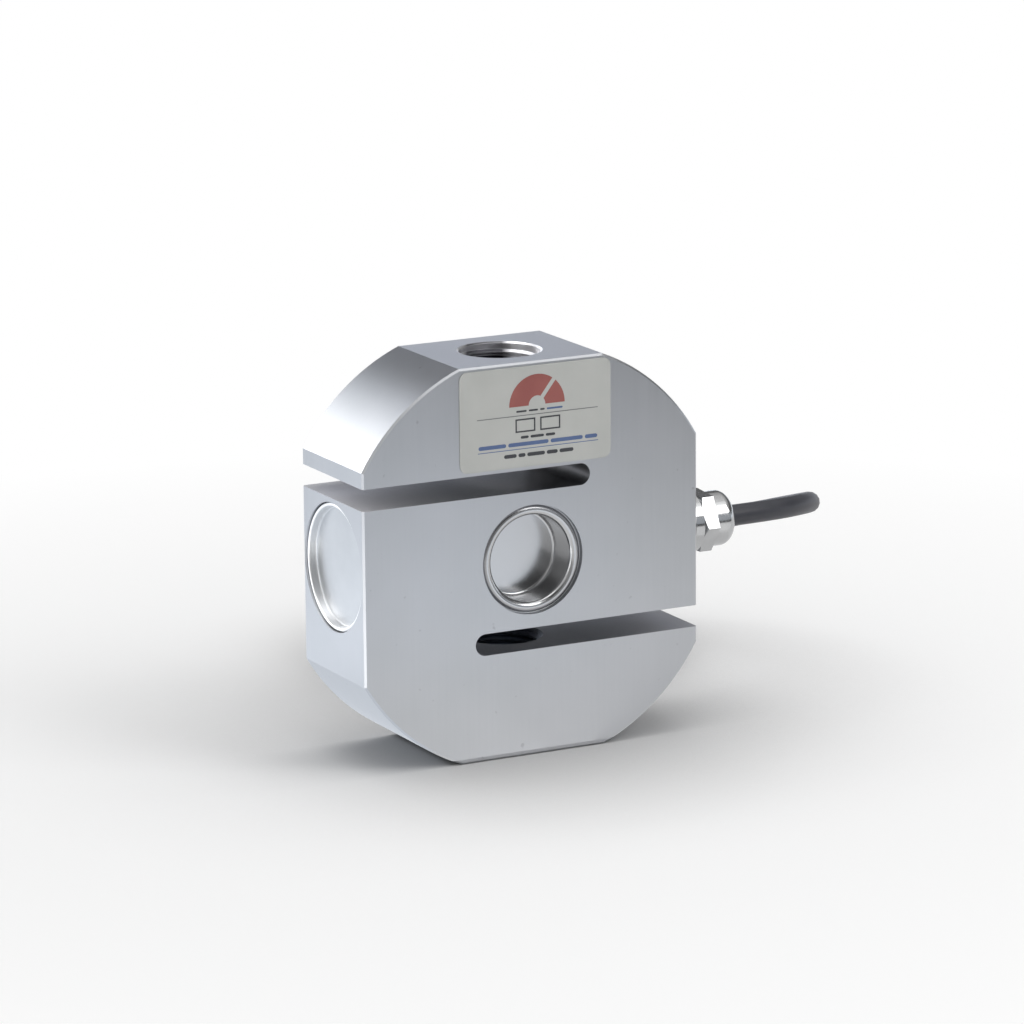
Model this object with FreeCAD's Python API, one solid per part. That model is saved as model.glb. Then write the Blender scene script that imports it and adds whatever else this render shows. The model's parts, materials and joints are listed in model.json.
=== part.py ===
"""S-beam load cell with welded gauge cups, side compensation pocket, cable gland and cable.

Frame: origin at the centre of the base face, on the load axis.  +Z runs up the load axis,
+X points out of the cable gland, +Y goes from the front face to the rear face.
"""
import FreeCAD, Part
import math
import os
from FreeCAD import Vector

# ---------------------------------------------------------------- driving sizes (millimetres)
# Sensing body: a disc cut by four flats
body_width = 110.0
body_height = 118.0
body_depth = 40.0
body_radius = 63.5
edge_break = 0.6

# Slots that give the body its S shape: the upper opens at -X, the lower at +X
slot_height = 6.5
slot_offset = 23.75           # mid-plane of a slot from mid-height
slot_reach = 19.0             # how far the round end goes past the load axis

# Threaded load holes, M24 x 2, cut through to the slots
thread_root_radius = 12.1
thread_mouth_break = 0.5

# Gauge cavities, front and rear, with a shear web between them
web_thickness = 6.0
cavity_radius = 14.0

# Drawn sealing cup in each cavity
cup_seat_radius = 16.4        # counterbore for the cup flange
cup_seat_depth = 2.2
cup_sheet = 0.6
cup_flange_clearance = 0.2
cup_crest_radius = 14.6       # top of the rolled bead
cup_crest_depth = 0.75
cup_bead_radius = 1.6
cup_depth = 11.3
cup_corner = 0.8

# Compensation pocket in the left face, and its cap
pocket_radius = 17.0
pocket_depth = 16.0
cap_seat_radius = 19.2
cap_seat_depth = 4.0
cap_fit = 0.25
cap_wall = 1.1
cap_crest_depth = 0.5
cap_floor_depth = 3.2
cap_corner = 0.6
cap_underside_break = 0.3

# Wire passages from the pocket and the gland port to the cavities
passage_radius = 1.6
passage_offset = 5.0

# Strain gauges on the web
film_length = 15.0
film_width = 12.0
film_thickness = 0.12
grid_size = 3.4
grid_thickness = 0.08
grid_spacing = 5.2
tab_length = 1.6
tab_width = 1.1
tab_height = 0.3
tab_spacing = 2.2
tab_edge_gap = 0.6

# Trimming board in the pocket
spacer_radius = 1.5
spacer_length = 4.0
spacer_circle = 12.0
spacer_count = 3
board_radius = 15.0
board_thickness = 1.6
resistor_length = 3.2
resistor_width = 1.6
resistor_height = 0.6
resistor_count = 4
resistor_pitch = 3.4
board_pad_radius = 0.9
board_pad_height = 0.25
board_pad_offset = 8.0

# Wiring inside the body
harness_radius = 0.9
harness_rise = 0.6
harness_bend_length = 4.5
harness_bend_clearance = 2.0
lead_radius = 0.5
lead_drop = 1.0

# Cable gland on the right face, PG9 with a 17 mm spanner
gland_thread_radius = 7.6
gland_thread_clearance = 0.1
gland_thread_length = 8.0
port_depth = 16.0
washer_thickness = 1.5
washer_radius = 9.0
gland_across_flats = 17.0
gland_hex_length = 4.5
gland_hex_turn = 12.0
hex_chamfer_angle = 30.0
collar_radius = 9.2
collar_length = 3.0
spigot_radius = 6.95
spigot_length = 6.0
nut_gap = 0.2
nut_hex_length = 4.7
nut_hex_turn = 34.0
nut_length = 11.8
nut_dome_radius = 8.4
nut_dome_rounding = 3.2
nut_thread_clearance = 0.1
nut_cone_start = 6.2          # from the open end of the nut
nut_cone_length = 3.0
nut_cone_small_radius = 4.6
nut_mouth_break = 0.4
seal_seat_radius = 5.2
seal_seat_depth = 5.5
seal_side_clearance = 0.1
seal_head_radius = 6.6
seal_head_length = 2.8
seal_head_land = 0.4
seal_tip_radius = 4.75
seal_bore_clearance = 0.05
gland_bore_clearance = 0.35
nut_bore_clearance = 0.25

# Rating plate on the front face
label_width = 49.5
label_height = 29.8
label_thickness = 0.25
label_shift = 1.1
label_slot_gap = 1.0
label_corner = 2.5

# Cable
cable_diameter = 6.5
entry_inside = 5.0            # jacket inside the body
entry_outside = 17.0          # jacket inside the gland, measured from the right face

# Cable coil on the floor behind the body
coil_centre = (45.5, 89.0)
coil_mean_radius = 38.4
coil_columns = 3
coil_layers = 4
coil_pitch = 6.6
coil_floor_gap = 1.2
coil_corner = 2.6
tie_width = 10.0
tie_thickness = 1.0
tie_clearance = 0.8
tie_angle = 67.5

# Free end of the cable
sleeve_radius = 3.8
sleeve_length = 16.0
core_radius = 0.75
core_circle = 2.05            # circle on which the cores leave the sleeve
core_lead_out = 4.0
core_drop_length = 15.0

# ---------------------------------------------------------------- worked-out places
mid_height = body_height / 2
front_face = -body_depth / 2
rear_face = body_depth / 2
left_face = -body_width / 2
right_face = body_width / 2
cable_radius = cable_diameter / 2
cavity_depth = (body_depth - web_thickness) / 2
web_face = web_thickness / 2
upper_slot_top = mid_height + slot_offset + slot_height / 2
gland_hex_start = washer_thickness
collar_start = gland_hex_start + gland_hex_length
spigot_start = collar_start + collar_length
spigot_end = spigot_start + spigot_length
nut_start = spigot_start + nut_gap
nut_end = nut_start + nut_length
board_inner_face = left_face + pocket_depth - spacer_length
board_outer_face = board_inner_face - board_thickness
coil_half_width = (coil_columns - 1) / 2 * coil_pitch + cable_radius
coil_outer_radius = coil_mean_radius + coil_half_width
coil_inner_radius = coil_mean_radius - coil_half_width
coil_height = coil_layers * cable_diameter
UP = Vector(0, 0, 1)
RIGHT = Vector(1, 0, 0)
LEFT = Vector(-1, 0, 0)
REARWARD = Vector(0, 1, 0)
FORWARD = Vector(0, -1, 0)

# ---------------------------------------------------------------- cable routes
# From the gland nut, round behind the body and down on to the top of the coil
cable_route = [
    (right_face + entry_outside, 0.0, mid_height),
    (92.5, 0.0, mid_height),
    (113.0, 11.0, 57.0),
    (124.0, 32.0, 51.5),
    (124.0, 57.0, 44.0),
    (114.0, 81.0, 36.0),
    (94.65, 99.45, 27.0),
]
# From the bottom turn of the coil, along the floor to the sleeve
tail_route = [
    (23.0, 136.5, 4.4),
    (2.5, 123.0, 4.1),
    (-7.5, 103.0, 3.8),
    (-8.0, 81.0, 3.8),
    (-4.0, 62.0, 3.8),
]
# Where the stripped cores come to rest, fanned out from the end of the sleeve
core_ends = {
    "core_white": (-0.5, 22.5),
    "core_green": (11.0, 25.5),
    "drain_wire": (5.5, 22.8),
    "core_black": (-6.0, 23.0),
    "core_red": (-11.0, 24.8),
}


# ---------------------------------------------------------------- helpers
def put(shape, origin, direction):
    """Move a shape drawn about +Z so that its axis starts at origin and runs along direction."""
    moved = shape.copy()
    moved.Placement = FreeCAD.Placement(origin, FreeCAD.Rotation(UP, direction))
    return moved


def cylinder(radius, length, origin, direction):
    return Part.makeCylinder(radius, length, origin, direction)


def box_about(centre, size):
    """Box of the given size about its centre."""
    corner = Vector(*centre) - Vector(*size) * 0.5
    return Part.makeBox(size[0], size[1], size[2], corner)


def turned(start, *steps):
    """Solid of revolution about Z.  Points are (radius, height).

    A step is the next corner, or a pair (point on the arc, end of the arc).
    """
    def spot(point):
        return Vector(point[0], 0, point[1])

    edges = []
    here = start
    for step in steps + (start,):
        if isinstance(step[0], tuple):
            edges.append(Part.Arc(spot(here), spot(step[0]), spot(step[1])).toShape())
            here = step[1]
        else:
            edges.append(Part.LineSegment(spot(here), spot(step)).toShape())
            here = step
    face = Part.Face(Part.Wire(edges))
    return face.revolve(Vector(0, 0, 0), UP, 360)


def arc_middle(centre, radius, angle):
    """Point on a circle, at an angle in degrees."""
    turn = math.radians(angle)
    return (centre[0] + radius * math.cos(turn), centre[1] + radius * math.sin(turn))


def hex_prism(across_flats, start, length, turn):
    """Hexagonal prism along +X, from start, with one corner turned from +Z towards -Y."""
    corner_radius = across_flats / math.sqrt(3)
    corners = []
    for index in range(7):
        angle = math.radians(turn + 60 * index)
        corners.append(Vector(start, -corner_radius * math.sin(angle), corner_radius * math.cos(angle)))
    return Part.Face(Part.makePolygon(corners)).extrude(Vector(length, 0, 0))


def hex_envelope(across_flats, start, length, near, far):
    """Turned blank that leaves 30 degree chamfers on the ends of a hexagon that ask for one."""
    corner_radius = across_flats / math.sqrt(3) + 0.1
    land_radius = across_flats / 2 - 0.2
    chamfer = (corner_radius - land_radius) * math.tan(math.radians(hex_chamfer_angle))
    near_chamfer = chamfer if near else 0.0
    far_chamfer = chamfer if far else 0.0
    corners = [(0, start), (land_radius if near else corner_radius, start)]
    if near:
        corners.append((corner_radius, start + near_chamfer))
    if far:
        corners.append((corner_radius, start + length - far_chamfer))
    corners += [(land_radius if far else corner_radius, start + length), (0, start + length)]
    return put(turned(*corners), Vector(0, 0, 0), RIGHT)


def routed_tube(points, radius, label):
    """Tube along straight runs joined by tangent arcs, each as large as its two runs allow."""
    corners = [Vector(*point) for point in points]
    edges = []
    radii = []
    here = corners[0]
    for before, corner, after in zip(corners, corners[1:], corners[2:]):
        arriving = (corner - before).normalize()
        leaving = (after - corner).normalize()
        turn = arriving.getAngle(leaving)
        setback = 0.45 * min((corner - before).Length, (after - corner).Length)
        bend_radius = setback / math.tan(turn / 2)
        radii.append(bend_radius)
        arc_start = corner - arriving * setback
        arc_end = corner + leaving * setback
        toward_centre = (leaving - arriving).normalize()
        centre_distance = bend_radius / math.cos(turn / 2)
        arc_mid = corner + toward_centre * (centre_distance - bend_radius)
        edges.append(Part.LineSegment(here, arc_start).toShape())
        edges.append(Part.Arc(arc_start, arc_mid, arc_end).toShape())
        here = arc_end
    edges.append(Part.LineSegment(here, corners[-1]).toShape())
    path = Part.Wire(edges)
    section = Part.Face(Part.Wire(Part.Circle(corners[0], corners[1] - corners[0], radius).toShape()))
    tube = path.makePipe(section)
    expected = math.pi * radius ** 2 * path.Length
    bends = ", ".join(f"{bend_radius:.1f}" for bend_radius in radii)
    print(f"{label}: length {path.Length:.1f}, bend radii {bends}, volume {tube.Volume:.0f} of {expected:.0f}")
    return tube


# ---------------------------------------------------------------- sensing body
def body_blank():
    """Disc cut by the four flats, with the outline edges of both faces broken."""
    disc = cylinder(body_radius, body_depth, Vector(0, front_face, mid_height), REARWARD)
    flats = box_about((0, 0, mid_height), (body_width, body_depth, body_height))
    blank = disc.common(flats)
    outline = [edge for edge in blank.Edges if edge.BoundBox.YLength < 0.001]
    return blank.makeChamfer(edge_break, outline)


def slot(side):
    """Round-ended slot through the body, open on the given side: -1 left, +1 right."""
    centre_height = mid_height - side * slot_offset
    end_centre = -side * (slot_reach - slot_height / 2)
    length = body_width / 2 + 1 + abs(end_centre)
    straight = box_about((end_centre + side * length / 2, 0, centre_height),
                         (length, body_depth + 2, slot_height))
    round_end = cylinder(slot_height / 2, body_depth + 2,
                         Vector(end_centre, front_face - 1, centre_height), REARWARD)
    return straight.fuse(round_end)


def load_hole(face_height, inward):
    """Threaded load hole from the top or base face through to the slot behind it."""
    direction = UP * inward
    depth = mid_height - slot_offset
    hole = cylinder(thread_root_radius, depth, Vector(0, 0, face_height), direction)
    mouth = Part.makeCone(thread_root_radius + thread_mouth_break, thread_root_radius,
                          thread_mouth_break, Vector(0, 0, face_height), direction)
    return hole.fuse(mouth)


def gauge_cavity(face, inward):
    """Bore for the gauges, with the counterbore that seats the cup flange."""
    origin = Vector(0, face, mid_height)
    bore = cylinder(cavity_radius, cavity_depth, origin, inward)
    seat = cylinder(cup_seat_radius, cup_seat_depth, origin, inward)
    return bore.fuse(seat)


def compensation_pocket():
    origin = Vector(left_face, 0, mid_height)
    pocket = cylinder(pocket_radius, pocket_depth, origin, RIGHT)
    seat = cylinder(cap_seat_radius, cap_seat_depth, origin, RIGHT)
    return pocket.fuse(seat)


def gland_port():
    bore_radius = gland_thread_radius + gland_thread_clearance
    return cylinder(bore_radius, port_depth, Vector(right_face, 0, mid_height), LEFT)


def wire_passages():
    """Holes from the pocket to both cavities, and from the gland port to the front one."""
    pocket_floor = left_face + pocket_depth
    port_floor = right_face - port_depth
    holes = []
    for offset in (-passage_offset, passage_offset):
        holes.append(cylinder(passage_radius, -pocket_floor, Vector(pocket_floor, offset, mid_height), RIGHT))
    holes.append(cylinder(passage_radius, port_floor, Vector(port_floor, -passage_offset, mid_height), LEFT))
    return holes


def sensing_body():
    cuts = [
        slot(-1), slot(1),
        load_hole(0, 1), load_hole(body_height, -1),
        gauge_cavity(front_face, REARWARD), gauge_cavity(rear_face, FORWARD),
        compensation_pocket(), gland_port(),
    ]
    return body_blank().cut(cuts + wire_passages())


# ---------------------------------------------------------------- sealing cups and cap
def drawn_cup():
    """Deep-drawn cup with a rolled bead and a flat flange; heights are depths below the face."""
    flange_radius = cup_seat_radius - cup_flange_clearance
    flange_top = cup_seat_depth - cup_sheet
    bead_centre = (cup_crest_radius, cup_crest_depth + cup_bead_radius)
    under_bead = cup_bead_radius - cup_sheet
    outer_foot = cup_crest_radius + math.sqrt(cup_bead_radius ** 2 - (bead_centre[1] - flange_top) ** 2)
    inner_foot = cup_crest_radius + math.sqrt(under_bead ** 2 - (bead_centre[1] - cup_seat_depth) ** 2)
    wall = cup_crest_radius - cup_bead_radius
    outer_wall = wall + cup_sheet
    corner_centre = (wall - cup_corner, cup_depth - cup_corner)
    under_corner = cup_corner + cup_sheet
    return turned(
        (0, cup_depth),
        (wall - cup_corner, cup_depth),
        (arc_middle(corner_centre, cup_corner, 45), (wall, cup_depth - cup_corner)),
        (wall, bead_centre[1]),
        ((cup_crest_radius, cup_crest_depth), (outer_foot, flange_top)),
        (flange_radius, flange_top),
        (flange_radius, cup_seat_depth),
        (inner_foot, cup_seat_depth),
        ((cup_crest_radius, cup_crest_depth + cup_sheet), (outer_wall, bead_centre[1])),
        (outer_wall, cup_depth - cup_corner),
        (arc_middle(corner_centre, under_corner, 45), (wall - cup_corner, cup_depth + cup_sheet)),
        (0, cup_depth + cup_sheet),
    )


def front_cup():
    return put(drawn_cup(), Vector(0, front_face, mid_height), REARWARD)


def rear_cup():
    return put(drawn_cup(), Vector(0, rear_face, mid_height), FORWARD)


def side_cap():
    """Shallow turned cap with a raised rounded rim, seated on the ledge of the pocket."""
    outer = cap_seat_radius - cap_fit
    inner = outer - cap_wall
    rounding = cap_wall / 2
    rim_foot = cap_crest_depth + rounding
    corner_centre = (inner - cap_corner, cap_floor_depth - cap_corner)
    shape = turned(
        (0, cap_floor_depth),
        (inner - cap_corner, cap_floor_depth),
        (arc_middle(corner_centre, cap_corner, 45), (inner, cap_floor_depth - cap_corner)),
        (inner, rim_foot),
        ((inner + rounding, cap_crest_depth), (outer, rim_foot)),
        (outer, cap_seat_depth - cap_underside_break),
        (outer - cap_underside_break, cap_seat_depth),
        (0, cap_seat_depth),
    )
    return put(shape, Vector(left_face, 0, mid_height), RIGHT)


# ---------------------------------------------------------------- gauges on the web
def gauge_film(side):
    """Backing film bonded to the web; side is -1 in front, +1 behind."""
    centre_y = side * (web_face + film_thickness / 2)
    return box_about((0, centre_y, mid_height), (film_length, film_thickness, film_width))


def gauge_grids(side):
    """Four foil grids at 45 degrees, which read the shear in the web."""
    centre_y = side * (web_face + film_thickness + grid_thickness / 2)
    grids = []
    for column in (-0.5, 0.5):
        for row in (-0.5, 0.5):
            centre = (column * grid_spacing, centre_y, mid_height + row * grid_spacing)
            grid = box_about(centre, (grid_size, grid_thickness, grid_size))
            grid.rotate(Vector(*centre), REARWARD, 45)
            grids.append(grid)
    return Part.makeCompound(grids)


def solder_tabs(side):
    """Row of solder tabs along the end of the film that faces the pocket."""
    centre_x = -film_length / 2 + tab_edge_gap + tab_width / 2
    centre_y = side * (web_face + film_thickness + tab_height / 2)
    tabs = []
    for index in range(-2, 3):
        centre = (centre_x, centre_y, mid_height + index * tab_spacing)
        tabs.append(box_about(centre, (tab_width, tab_height, tab_length)))
    return Part.makeCompound(tabs)


def gauge_leads(side):
    """Bundle from the solder tabs through the passage to the trimming board."""
    tab_top = side * (web_face + film_thickness + tab_height)
    height = mid_height - lead_drop
    start_x = -film_length / 2 + tab_edge_gap + tab_width / 2
    route = [
        (start_x, tab_top, height),
        (start_x, side * passage_offset, height),
        (board_inner_face, side * passage_offset, height),
    ]
    return routed_tube(route, lead_radius, "gauge leads")


def supply_harness():
    """Cores from the stripped end of the jacket, past the front gauges, to the trimming board."""
    start_x = right_face - entry_inside
    bend_end = right_face - port_depth + harness_bend_clearance
    height = mid_height + harness_rise
    route = [
        (start_x, 0, mid_height),
        (bend_end + harness_bend_length, 0, mid_height),
        (bend_end, -passage_offset, height),
        (board_inner_face, -passage_offset, height),
    ]
    return routed_tube(route, harness_radius, "supply harness")


# ---------------------------------------------------------------- trimming board
def board_spacer(index):
    angle = math.radians(90 + 360 / spacer_count * index)
    centre = Vector(board_inner_face, spacer_circle * math.cos(angle),
                    mid_height + spacer_circle * math.sin(angle))
    return cylinder(spacer_radius, spacer_length, centre, RIGHT)


def trim_board():
    return cylinder(board_radius, board_thickness, Vector(board_outer_face, 0, mid_height), RIGHT)


def trim_resistors():
    """Row of trimming resistors on the outer side of the board."""
    centre_x = board_outer_face - resistor_height / 2
    parts = []
    for index in range(resistor_count):
        offset = (index - (resistor_count - 1) / 2) * resistor_pitch
        parts.append(box_about((centre_x, 0, mid_height + offset),
                               (resistor_height, resistor_length, resistor_width)))
    return Part.makeCompound(parts)


def board_pads():
    """Two columns of solder pads, one each side of the resistors."""
    parts = []
    for column in (-1, 1):
        for index in range(resistor_count):
            offset = (index - (resistor_count - 1) / 2) * resistor_pitch
            origin = Vector(board_outer_face, column * board_pad_offset, mid_height + offset)
            parts.append(cylinder(board_pad_radius, board_pad_height, origin, LEFT))
    return Part.makeCompound(parts)


# ---------------------------------------------------------------- cable gland
def on_gland_axis(shape):
    """Move a shape drawn from the right face along +X on to the gland axis."""
    return shape.translated(Vector(right_face, 0, mid_height))


def gland_washer():
    ring = turned((gland_thread_radius, 0), (washer_radius, 0),
                  (washer_radius, washer_thickness), (gland_thread_radius, washer_thickness))
    return on_gland_axis(put(ring, Vector(0, 0, 0), RIGHT))


def gland_body():
    """Threaded shank, spanner hexagon, round collar and the spigot that takes the nut."""
    bore = cable_radius + gland_bore_clearance
    seat_start = spigot_end - seal_seat_depth
    turned_blank = turned(
        (bore, -gland_thread_length),
        (gland_thread_radius, -gland_thread_length),
        (gland_thread_radius, gland_hex_start),
        (gland_across_flats / 2, gland_hex_start),
        (gland_across_flats / 2, collar_start),
        (collar_radius, collar_start),
        (collar_radius, spigot_start),
        (spigot_radius, spigot_start),
        (spigot_radius, spigot_end),
        (seal_seat_radius, spigot_end),
        (seal_seat_radius, seat_start),
        (bore, seat_start),
    )
    hexagon = hex_prism(gland_across_flats, gland_hex_start, gland_hex_length, gland_hex_turn)
    hexagon = hexagon.common(hex_envelope(gland_across_flats, gland_hex_start, gland_hex_length, True, False))
    core = cylinder(gland_across_flats / 2 - 0.5, gland_hex_length, Vector(gland_hex_start, 0, 0), RIGHT)
    shape = put(turned_blank, Vector(0, 0, 0), RIGHT).fuse(hexagon.cut(core)).removeSplitter()
    return on_gland_axis(shape)


def gland_seal():
    """Rubber sleeve squeezed on to the jacket between the spigot and the nut."""
    bore = cable_radius + seal_bore_clearance
    side = seal_seat_radius - seal_side_clearance
    start = spigot_end - seal_seat_depth + seal_side_clearance
    head = spigot_end + seal_side_clearance
    sleeve = turned(
        (bore, start),
        (side, start),
        (side, head),
        (seal_head_radius, head),
        (seal_head_radius, head + seal_head_land),
        (seal_tip_radius, head + seal_head_length),
        (bore, head + seal_head_length),
    )
    return on_gland_axis(put(sleeve, Vector(0, 0, 0), RIGHT))


def gland_nut():
    """Domed nut: a chamfered hexagon that runs into a round nose with the cable mouth."""
    mouth = cable_radius + nut_bore_clearance
    thread = spigot_radius + nut_thread_clearance
    cone_start = nut_start + nut_cone_start
    cone_end = cone_start + nut_cone_length
    hex_end = nut_start + nut_hex_length
    nose_start = nut_end - nut_dome_rounding
    nose_centre = (nut_dome_radius - nut_dome_rounding, nose_start)
    dome = turned(
        (thread, nut_start),
        (nut_dome_radius - 0.2, nut_start),
        (nut_dome_radius, nut_start + 0.2),
        (nut_dome_radius, nose_start),
        (arc_middle(nose_centre, nut_dome_rounding, 45), (nose_centre[0], nut_end)),
        (mouth + nut_mouth_break, nut_end),
        (mouth, nut_end - nut_mouth_break),
        (mouth, cone_end),
        (nut_cone_small_radius, cone_end),
        (thread, cone_start),
    )
    hexagon = hex_prism(gland_across_flats, nut_start, nut_hex_length, nut_hex_turn)
    hexagon = hexagon.common(hex_envelope(gland_across_flats, nut_start, nut_hex_length, True, False))
    core = cylinder(nut_dome_radius - 0.5, hex_end - nut_start, Vector(nut_start, 0, 0), RIGHT)
    shape = put(dome, Vector(0, 0, 0), RIGHT).fuse(hexagon.cut(core)).removeSplitter()
    return on_gland_axis(shape)


# ---------------------------------------------------------------- rating plate
def rating_label():
    """Thin plate with rounded corners, stuck to the front face between the slot and the top."""
    bottom = upper_slot_top + label_slot_gap
    centre = (label_shift, front_face - label_thickness / 2, bottom + label_height / 2)
    plate = box_about(centre, (label_width, label_thickness, label_height))
    corners = [edge for edge in plate.Edges if abs(edge.BoundBox.YLength - label_thickness) < 0.001]
    return plate.makeFillet(label_corner, corners)


# ---------------------------------------------------------------- cable
def cable_entry():
    """End of the jacket, clamped in the gland."""
    origin = Vector(right_face - entry_inside, 0, mid_height)
    return cylinder(cable_radius, entry_inside + entry_outside, origin, RIGHT)


def cable():
    return routed_tube(cable_route, cable_radius, "cable")


def cable_coil():
    """Outer shape of the wound coil: a ring with rounded edges."""
    centre = Vector(coil_centre[0], coil_centre[1], coil_floor_gap)
    ring = cylinder(coil_outer_radius, coil_height, centre, UP)
    ring = ring.cut(cylinder(coil_inner_radius, coil_height, centre, UP))
    edges = [edge for edge in ring.Edges if edge.BoundBox.ZLength < 0.001]
    return ring.makeFillet(coil_corner, edges)


def coil_tie():
    """Strap closed round the bundle of turns."""
    inner_width = 2 * coil_half_width + 2 * tie_clearance
    inner_height = coil_height + tie_clearance
    bottom = coil_floor_gap - tie_thickness
    centre_height = bottom + tie_thickness + inner_height / 2
    strap = box_about((coil_mean_radius, 0, centre_height),
                      (inner_width + 2 * tie_thickness, tie_width, inner_height + 2 * tie_thickness))
    long_edges = [edge for edge in strap.Edges if abs(edge.BoundBox.YLength - tie_width) < 0.001]
    strap = strap.makeFillet(coil_corner + tie_thickness / 2, long_edges)
    opening = box_about((coil_mean_radius, 0, centre_height), (inner_width, tie_width + 2, inner_height))
    long_edges = [edge for edge in opening.Edges if edge.BoundBox.YLength > tie_width]
    opening = opening.makeFillet(coil_corner - tie_thickness / 2, long_edges)
    strap = strap.cut(opening)
    strap.rotate(Vector(0, 0, 0), UP, tie_angle)
    return strap.translated(Vector(coil_centre[0], coil_centre[1], 0))


def cable_tail():
    return routed_tube(tail_route, cable_radius, "cable tail")


def sleeve_axis():
    """Start and direction of the end sleeve, in line with the last run of the tail."""
    end = Vector(*tail_route[-1])
    along = (end - Vector(*tail_route[-2])).normalize()
    return end, along


def end_sleeve():
    """Heat-shrunk sleeve over the end of the jacket."""
    end, along = sleeve_axis()
    return cylinder(sleeve_radius, sleeve_length, end, along)


def stripped_core(name):
    """One core from the sleeve, bent down to the floor and fanned out."""
    end, along = sleeve_axis()
    names = list(core_ends)
    angle = 2 * math.pi * names.index(name) / len(names)
    across = Vector(-along.y, along.x, 0)
    start = end + along * sleeve_length
    start += across * (core_circle * math.sin(angle)) + UP * (core_circle * math.cos(angle))
    rest = Vector(core_ends[name][0], core_ends[name][1], core_radius)
    straight = start + along * core_lead_out
    landing = start + along * core_drop_length
    landing.x += (rest.x - start.x) * 0.35
    landing.z = core_radius
    return routed_tube([start, straight, landing, rest], core_radius, name)


# ---------------------------------------------------------------- build and export
parts = {
    "sensing_body": sensing_body(),
    "front_cup": front_cup(),
    "rear_cup": rear_cup(),
    "side_cap": side_cap(),
    "supply_harness": supply_harness(),
    "trim_board": trim_board(),
    "trim_resistors": trim_resistors(),
    "board_pads": board_pads(),
    "gland_washer": gland_washer(),
    "gland_body": gland_body(),
    "gland_seal": gland_seal(),
    "gland_nut": gland_nut(),
    "rating_label": rating_label(),
    "cable_entry": cable_entry(),
    "cable": cable(),
    "cable_coil": cable_coil(),
    "coil_tie": coil_tie(),
    "cable_tail": cable_tail(),
    "end_sleeve": end_sleeve(),
}
for side, place in ((-1, "front"), (1, "rear")):
    parts["gauge_film_" + place] = gauge_film(side)
    parts["gauge_grids_" + place] = gauge_grids(side)
    parts["solder_tabs_" + place] = solder_tabs(side)
    parts["gauge_leads_" + place] = gauge_leads(side)
for index in range(spacer_count):
    parts[f"board_spacer_{index + 1}"] = board_spacer(index)
for name in core_ends:
    parts[name] = stripped_core(name)

os.makedirs("parts", exist_ok=True)
for name, shape in parts.items():
    shape.exportStep(f"parts/{name}.step")
    print(f"{name}: {len(shape.Solids)} solid(s), valid {shape.isValid()}, volume {shape.Volume:.1f}")
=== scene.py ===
"""Looks of the S-beam load cell: camera, cable, finishes, strap end, threads, welds, print and studio.

Everything is in metres in the part's own frame: origin at the centre of the base face, +Z up the
load axis, +X out of the cable gland, +Y from the front face to the rear face.
"""
import json
import math

import bmesh
import bpy
from mathutils import Matrix, Vector


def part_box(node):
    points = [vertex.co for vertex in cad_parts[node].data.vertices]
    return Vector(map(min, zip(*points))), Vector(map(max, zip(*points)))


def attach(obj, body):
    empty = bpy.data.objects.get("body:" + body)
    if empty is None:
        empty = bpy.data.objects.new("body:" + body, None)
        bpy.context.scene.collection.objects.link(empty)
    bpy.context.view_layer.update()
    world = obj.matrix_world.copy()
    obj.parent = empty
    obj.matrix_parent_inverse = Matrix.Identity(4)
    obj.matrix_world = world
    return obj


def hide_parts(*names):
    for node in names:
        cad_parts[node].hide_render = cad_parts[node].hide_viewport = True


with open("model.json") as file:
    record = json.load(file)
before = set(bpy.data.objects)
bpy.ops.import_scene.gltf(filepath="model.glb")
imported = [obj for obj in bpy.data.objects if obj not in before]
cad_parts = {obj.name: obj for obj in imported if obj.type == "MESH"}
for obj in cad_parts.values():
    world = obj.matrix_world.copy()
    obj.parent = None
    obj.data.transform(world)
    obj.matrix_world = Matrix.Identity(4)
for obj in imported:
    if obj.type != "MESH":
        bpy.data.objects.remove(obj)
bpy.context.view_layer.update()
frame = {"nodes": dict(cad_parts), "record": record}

MM = 0.001
UP = Vector((0, 0, 1))
nodes = frame["nodes"]
mounts = {mount["name"]: mount for mount in frame["record"]["mounts"]}


def mm(*values):
    """A point or size given in millimetres, in metres."""
    return Vector([value * MM for value in values])


# ---------------------------------------------------------------- camera
camera_azimuth = math.radians(-27.52)
camera_elevation = math.radians(13.19)
camera_roll = math.radians(-0.476)
camera_distance = 1.5227
camera_lens = 181.37            # millimetres, on a 36 mm sensor
aim_right = 3.2255 * MM
aim_up = 9.8697 * MM


def make_camera():
    """Long lens from the front left, a little above; the aim is just off the body's centre."""
    low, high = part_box("sensing_body")
    back = Vector((
        math.sin(camera_azimuth) * math.cos(camera_elevation),
        -math.cos(camera_azimuth) * math.cos(camera_elevation),
        math.sin(camera_elevation),
    ))
    level = Vector((math.cos(camera_azimuth), math.sin(camera_azimuth), 0))
    upward = back.cross(level)
    aim = (low + high) / 2 + level * aim_right + upward * aim_up
    right = level * math.cos(camera_roll) + upward * math.sin(camera_roll)
    top = upward * math.cos(camera_roll) - level * math.sin(camera_roll)
    data = bpy.data.cameras.new("camera")
    data.lens = camera_lens
    data.sensor_width = 36.0
    data.clip_start = 0.05
    data.clip_end = 50.0
    camera = bpy.data.objects.new("camera", data)
    bpy.context.scene.collection.objects.link(camera)
    turn = Matrix((right, top, back)).transposed().to_4x4()
    camera.matrix_world = Matrix.Translation(aim + back * camera_distance) @ turn
    bpy.context.scene.camera = camera


make_camera()

# ---------------------------------------------------------------- cable
cable_diameter = 6.5 * MM
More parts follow.
